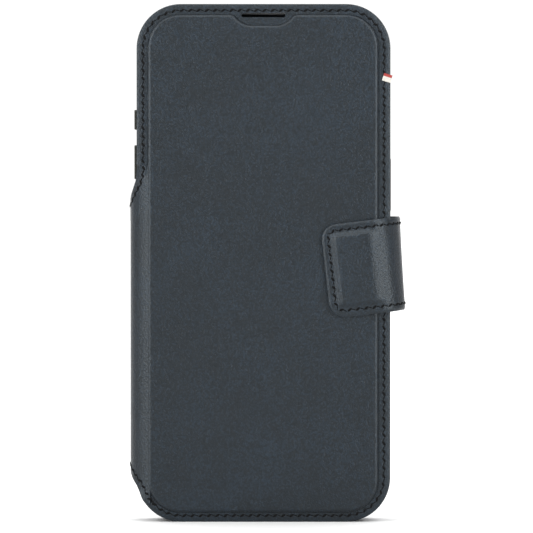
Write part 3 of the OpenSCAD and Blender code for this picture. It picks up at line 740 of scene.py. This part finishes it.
def strap_at(q, w, depth, pad):
    """A point on the strap: q along it from the sewn end, w across it, at a depth under its face."""
    x, y = np.interp(q, strap_run, strap_path[:, 0]), np.interp(q, strap_run, strap_path[:, 1])
    ahead = np.stack([np.interp(q + 0.05, strap_run, strap_path[:, i]) for i in range(2)], -1)
    behind = np.stack([np.interp(q - 0.05, strap_run, strap_path[:, i]) for i in range(2)], -1)
    heading = (ahead - behind) / np.linalg.norm(ahead - behind, axis=-1, keepdims=True)
    out_x, out_y = heading[..., 1] * -1, heading[..., 0]
    to_tip, to_root = strap_length - q, q
    near = np.minimum(to_tip, to_root)
    edge_a, edge_b = near - strap_corner, strap_half - np.abs(w) - strap_corner
    inside = np.where((edge_a < 0) & (edge_b < 0), strap_corner - np.hypot(edge_a, edge_b),
                      np.minimum(near, strap_half - np.abs(w)))
    lift = -edge_fall * (1 - ease(inside, 0, edge_wide))
    lift = lift - seam_dent * (1 - ease(abs(inside - strap_sew_in), 0.1, 0.4))
    along = ease(to_tip, pad_start, pad_full) * (1 - ease(to_tip, pad_falls, pad_end))
    lift = lift + pad * pad_high * along * ease(strap_half - np.abs(w), pad_start, pad_full)
    x, y = x + out_x * (lift - depth), y + out_y * (lift - depth)
    droop = math.radians(droop_angle) * ease(q, strap_length - droop_from, strap_length - droop_to)
    arm_x, arm_z = x - droop_x, w
    turned = np.stack([droop_x + arm_x * np.cos(droop) - arm_z * np.sin(droop), y,
                       strap_mid + arm_x * np.sin(droop) + arm_z * np.cos(droop)], -1)
    return turned, np.stack([out_x, out_y, 0 * out_x], -1)


fine_edge = [0, 0.12, 0.3, 0.5, 0.75, 1.1, 1.5, 1.8, 2.0, 2.2,
             2.4, 2.7, 3.1, 3.6, 4.1, 4.7, 5.4, 6.2, 7.2, 8.4]
rows = np.array(fine_edge + list(np.arange(9.3, strap_length - 9, 0.9))
                + [strap_length - e for e in fine_edge[::-1]])
columns = np.array([e - strap_half for e in fine_edge] + [-5.0, -3.3, -1.1, 1.1, 3.3, 5.0]
                   + [strap_half - e for e in fine_edge[::-1]])


def strap_layer(name, depth, thickness, pad):
    """One layer of the whole strap, from its sewn end to its tip."""
    bpy.ops.object.select_all(action="DESELECT")
    bpy.ops.mesh.primitive_grid_add(x_subdivisions=len(rows) - 1, y_subdivisions=len(columns) - 1, size=1)
    piece = bpy.context.object
    piece.name = name
    grid = np.array([v.co for v in piece.data.vertices]) + 0.5
    q = rows[np.rint(grid[:, 0] * (len(rows) - 1)).astype(int)]
    w = columns[np.rint(grid[:, 1] * (len(columns) - 1)).astype(int)]
    short = np.clip(strap_corner - np.minimum(q, strap_length - q), 0, strap_corner)
    w = w * (strap_half - strap_corner + np.sqrt(strap_corner ** 2 - short ** 2)) / strap_half
    spots, _ = strap_at(q, w, depth, pad)
    for v, spot in zip(piece.data.vertices, spots):
        v.co = at(*spot)
    piece.data.flip_normals()
    wall = piece.modifiers.new("wall", "SOLIDIFY")
    wall.thickness = thickness * 0.001
    wall.offset = -1
    bpy.ops.object.modifier_apply(modifier=wall.name)
    bpy.ops.object.shade_smooth_by_angle(angle=math.radians(50))
    return piece


strap_skin = strap_layer("strap_skin", 0, 0.8, 1)
dress(strap_skin, leather, None, "leather", "strap_leather", "strap_root")
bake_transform(strap_skin)
strap_backing = strap_layer("strap_backing", 0.8, 0.35, 0)
dress(strap_backing, microfibre, None, "microfibre", "strap_lining")
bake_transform(strap_backing)

turn_r = strap_corner - strap_sew_in
tip, half = strap_length - strap_sew_in, strap_half - strap_sew_in
flat_run = [(q, half) for q in np.linspace(strap_sew_in, tip - turn_r, 60)]
quarter = np.linspace(0, math.pi / 2, 8)
flat_run += [(tip - turn_r + turn_r * math.sin(a), half - turn_r + turn_r * math.cos(a)) for a in quarter]
flat_run += [(tip - turn_r + turn_r * math.cos(a), -half + turn_r - turn_r * math.sin(a)) for a in quarter]
flat_run += [(q, -half) for q in np.linspace(tip - turn_r, strap_sew_in, 60)]
flat_run = np.array(flat_run)
spots, ways = strap_at(flat_run[:, 0], flat_run[:, 1], -0.03, 1)
strap_stitches = sew("strap_stitches", spots, ways)
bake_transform(strap_stitches)

# ---- Tray ----
# A moulded shell that the phone snaps into, with a leather skin on its sides and back and microfibre inside.
# Its rim stays bare, and holes are left for the camera, the plug and the speakers.

tray_x, tray_mid, button_y = -0.3, 83.2, 8.65
button_places = {"action_button": (-1, 37.1, 6.4), "volume_up_button": (-1, 50.8, 11.0),
                 "volume_down_button": (-1, 64.6, 11.0), "power_button": (1, 58.1, 17.0)}


def moulded(name, colour, pale, roughness, size):
    """Moulded plastic with a fine spark-eroded texture."""
    made, shader = paint(name, colour, roughness, 0.5)
    nodes, link = made.node_tree.nodes, made.node_tree.links.new
    where = nodes.new("ShaderNodeTexCoord")
    speck = nodes.new("ShaderNodeTexNoise")
    speck.inputs["Scale"].default_value = 1 / size
    speck.inputs["Detail"].default_value = 3
    tint = nodes.new("ShaderNodeValToRGB")
    tint.color_ramp.elements[0].position = 0.35
    tint.color_ramp.elements[0].color = (*colour, 1)
    tint.color_ramp.elements[1].position = 0.75
    tint.color_ramp.elements[1].color = (*pale, 1)
    bump = nodes.new("ShaderNodeBump")
    bump.inputs["Distance"].default_value = size * 0.1
    link(where.outputs["Object"], speck.inputs["Vector"])
    link(speck.outputs["Fac"], tint.inputs["Fac"])
    link(tint.outputs["Color"], shader.inputs["Base Color"])
    link(speck.outputs["Fac"], bump.inputs["Height"])
    link(bump.outputs["Normal"], shader.inputs["Normal"])
    return made


def repaint(node, material):
    """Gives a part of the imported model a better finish."""
    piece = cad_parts[node]
    piece.data.materials.clear()
    piece.data.materials.append(material)


repaint("case_shell", moulded("shell moulding", (0.012, 0.013, 0.015), (0.02, 0.021, 0.023), 0.55, 0.0003))


def tray_block(name, across, up, y0, y1, corner_radius, back_radius):
    """A block about the tray's middle, with its corners and its back edge rounded."""
    piece = slab(name, tray_x - across, tray_x + across, tray_mid - up, tray_mid + up, y0, y1,
                 (corner_radius,) * 4)
    pick(piece, "EDGE", lambda p: abs(p[:, 1] - y1).max() < 0.01)
    bpy.ops.mesh.bevel(offset=back_radius, segments=8, affect="EDGES")
    bpy.ops.object.mode_set(mode="OBJECT")
    return piece


camera_x, camera_z, camera_half, camera_r = 16.4, 142.6, 20, 10


def cut_window(piece, y0, y1):
    """Cuts the camera's window."""
    cut(piece, slab("window", camera_x - camera_half, camera_x + camera_half, camera_z - camera_half,
                    camera_z + camera_half, y0, y1, (camera_r,) * 4))


bay_half, bay_high, tray_wall, wrap = 38.9, 81.6, 1.5, 0.5
outer, high, tray_back, tray_r = bay_half + tray_wall, bay_high + tray_wall, 14.7, 13.9
tray_skin = tray_block("tray_skin", outer, high, 5.3, tray_back, tray_r, 0.0022)
cut(tray_skin, tray_block("hollow", outer - wrap, high - wrap, 4, tray_back - wrap, tray_r - wrap, 0.0017))
cut_window(tray_skin, 13, 16)
for across, wide, tall in ((0, 13, 6), (-17.5, 14, 2.2), (17.5, 14, 2.2)):
    port = blank("port", tray_x + across - wide / 2, tray_x + across + wide / 2, button_y - tall / 2,
                 button_y + tall / 2, -1, 3)
    pick(port, "EDGE", lambda p: abs(p[0, 2] - p[1, 2]) > 1)
    bpy.ops.mesh.bevel(offset=(tall / 2 - 0.05) * 0.001, segments=8, affect="EDGES")
    bpy.ops.object.mode_set(mode="OBJECT")
    cut(tray_skin, port)
key_half, key_gap = 1.4, 0.15
hole_half = key_half + key_gap
for side, drop, tall in button_places.values():
    foot, head = cover_top - drop - tall / 2, cover_top - drop + tall / 2
    hole = blank("hole", tray_x + side * 39.4, tray_x + side * 43, button_y - hole_half, button_y + hole_half,
                 foot - key_gap, head + key_gap)
    if side < 0:
        hole.data.flip_normals()
    cut(tray_skin, hole)
smooth(tray_skin)
tray_leather = grained("tray leather", *tones, 0.56, 0.36, 0.0005, 0.00015)
tray_leather.node_tree.nodes["Principled BSDF"].inputs["Specular Tint"].default_value = cool_gloss
dress(tray_skin, tray_leather, "phone_case", "leather", "case_leather")

tray_lining_y, lining_half, lining_high = 12.8, bay_half - 0.1, bay_high - 0.1
tray_lining = slab("tray_backing", tray_x - lining_half, tray_x + lining_half, tray_mid - lining_high,
                   tray_mid + lining_high, tray_lining_y, 13.2, (12.3,) * 4)
cut_window(tray_lining, 12, 14)
rim(tray_lining, tray_lining_y)
smooth(tray_lining)
dress(tray_lining, microfibre, "phone_case", "microfibre", "case_lining")

repaint("camera_frame", moulded("camera rim", (0.02, 0.021, 0.022), (0.03, 0.031, 0.032), 0.35, 0.0002))

# ---- Buttons ----
# Anodised aluminium keys that press the phone's own buttons through the tray's wall.
# A flange inside the wall keeps each one in.

metal, metal_shader = paint("anodised metal", (0.035, 0.036, 0.032), 0.38, 0.5)
metal_shader.inputs["Metallic"].default_value = 0.85
nodes, link = metal.node_tree.nodes, metal.node_tree.links.new
where = nodes.new("ShaderNodeTexCoord")
blasted = nodes.new("ShaderNodeTexNoise")
blasted.inputs["Scale"].default_value = 6000
blasted_bump = nodes.new("ShaderNodeBump")
blasted_bump.inputs["Distance"].default_value = 0.00001
wear = nodes.new("ShaderNodeMapRange")
wear.inputs["To Min"].default_value = 0.3
wear.inputs["To Max"].default_value = 0.48
link(where.outputs["Object"], blasted.inputs["Vector"])
link(blasted.outputs["Fac"], blasted_bump.inputs["Height"])
link(blasted.outputs["Fac"], wear.inputs["Value"])
link(wear.outputs["Result"], metal_shader.inputs["Roughness"])
link(blasted_bump.outputs["Normal"], metal_shader.inputs["Normal"])

key_in, key_out, lip, lip_thick = 39.6, 41.5, 0.8, 0.3
for name, (side, drop, tall) in button_places.items():
    seat, tip_out = tray_x + side * key_in, tray_x + side * key_out
    foot, head = cover_top - drop - tall / 2, cover_top - drop + tall / 2
    x0, x1 = sorted((seat, tip_out))
    key = blank(name + "_key", x0, x1, button_y - key_half, button_y + key_half, foot, head)
    pick(key, "EDGE", lambda p: abs(p[0, 0] - p[1, 0]) > 1)
    bpy.ops.mesh.bevel(offset=0.0006, segments=6, affect="EDGES")
    pick(key, "EDGE", lambda p: abs(p[:, 0] - tip_out).max() < 0.01)
    bpy.ops.mesh.bevel(offset=0.00025, segments=3, affect="EDGES")
    bpy.ops.object.mode_set(mode="OBJECT")
    x0, x1 = sorted((seat, seat - side * lip_thick))
    flange = blank("flange", x0, x1, button_y - key_half - lip, button_y + key_half + lip, foot - lip,
                   head + lip)
    cut(key, flange, "UNION")
    smooth(key)
    dress(key, metal, name, "dark_metal", name)

# ---- Boards, plate and magnets ----
# Grey pulp boards stiffen the two panels. A steel plate catches the strap's magnet,
# and a ring of magnets with an upright one below it holds the tray to the back panel.

board, board_shader = paint("pulp board", (0.25, 0.23, 0.2), 0.9, 0.2)
nodes, link = board.node_tree.nodes, board.node_tree.links.new
where = nodes.new("ShaderNodeTexCoord")
fibre = nodes.new("ShaderNodeTexNoise")
fibre.inputs["Scale"].default_value = 700
fibre.inputs["Detail"].default_value = 6
shade = nodes.new("ShaderNodeValToRGB")
shade.color_ramp.elements[0].color = (0.19, 0.175, 0.15, 1)
shade.color_ramp.elements[1].color = (0.33, 0.31, 0.27, 1)
link(where.outputs["Object"], fibre.inputs["Vector"])
link(fibre.outputs["Fac"], shade.inputs["Fac"])
link(shade.outputs["Color"], board_shader.inputs["Base Color"])
for node in ("cover_board", "back_board"):
    repaint(node, board)


def plated(name, colour, roughness):
    """Plated metal with faint rolling marks."""
    made, shader = paint(name, colour, roughness, 0.5)
    shader.inputs["Metallic"].default_value = 1
    nodes, link = made.node_tree.nodes, made.node_tree.links.new
    where = nodes.new("ShaderNodeTexCoord")
    marks = nodes.new("ShaderNodeTexNoise")
    marks.inputs["Scale"].default_value = 1500
    spread = nodes.new("ShaderNodeMapRange")
    spread.inputs["To Min"].default_value = roughness - 0.08
    spread.inputs["To Max"].default_value = roughness + 0.12
    link(where.outputs["Object"], marks.inputs["Vector"])
    link(marks.outputs["Fac"], spread.inputs["Value"])
    link(spread.outputs["Result"], shader.inputs["Roughness"])
    return made


nickel = plated("nickel plate", (0.62, 0.6, 0.57), 0.3)
for node in ("back_magnets", "back_alignment_magnet", "strap_magnet", "case_magnets",
             "case_alignment_magnet"):
    repaint(node, nickel)
repaint("catch_plate", plated("zinc plate", (0.5, 0.51, 0.53), 0.4))

# ---- Woven tag ----
# A short length of woven tape, folded over the cover's edge and caught in its seam.
# It is off-white with one brick-red edge.

tag_front, tag_back, tag_half, tape_thick = 0.6, 2.3, 1.25, 0.2
tag = blank("tag_loop", right - 2.5, right + 0.3, tag_front, tag_back, -tag_half, tag_half)
cut(tag, blank("fold", right - 10, right, tag_front + tape_thick, tag_back - tape_thick, -5, 5))
pick(tag, "EDGE", lambda p: True)
bpy.ops.mesh.bevel(offset=0.00007, segments=2, affect="EDGES")
bpy.ops.object.mode_set(mode="OBJECT")
tag_place, tag_turn = at(right, 0, 142.7), math.radians(17)
tag.data.transform(Matrix.Translation(tag_place) @ Matrix.Rotation(tag_turn, 4, "Y")
                   @ Matrix.Translation(-at(right, 0, 0)))
smooth(tag)
off_white = (0.48, 0.46, 0.42)
tape, tape_shader = paint("woven tape", off_white, 0.8, 0.3)
nodes, link = tape.node_tree.nodes, tape.node_tree.links.new
where = nodes.new("ShaderNodeTexCoord")
turn = nodes.new("ShaderNodeMapping")
turn.vector_type = "TEXTURE"
turn.inputs["Location"].default_value = tag_place
turn.inputs["Rotation"].default_value = (0, tag_turn, 0)
apart = nodes.new("ShaderNodeSeparateXYZ")
bands = nodes.new("ShaderNodeMapRange")
bands.inputs["From Min"].default_value = 0.00025
bands.inputs["From Max"].default_value = 0.0004
two = nodes.new("ShaderNodeMix")
two.data_type = "RGBA"
two.inputs["A"].default_value = (*off_white, 1)
two.inputs["B"].default_value = (0.26, 0.035, 0.03, 1)
weave = nodes.new("ShaderNodeTexWave")
weave.inputs["Scale"].default_value = 1500
weave.bands_direction = "Z"
weave_bump = nodes.new("ShaderNodeBump")
weave_bump.inputs["Distance"].default_value = 0.00005
link(where.outputs["Object"], turn.inputs["Vector"])
link(turn.outputs["Vector"], apart.inputs["Vector"])
link(turn.outputs["Vector"], weave.inputs["Vector"])
link(apart.outputs["Z"], bands.inputs["Value"])
link(bands.outputs["Result"], two.inputs["Factor"])
link(two.outputs["Result"], tape_shader.inputs["Base Color"])
link(weave.outputs["Fac"], weave_bump.inputs["Height"])
link(weave_bump.outputs["Normal"], tape_shader.inputs["Normal"])
dress(tag, tape, "front_cover", "woven_tape", "woven_tag")
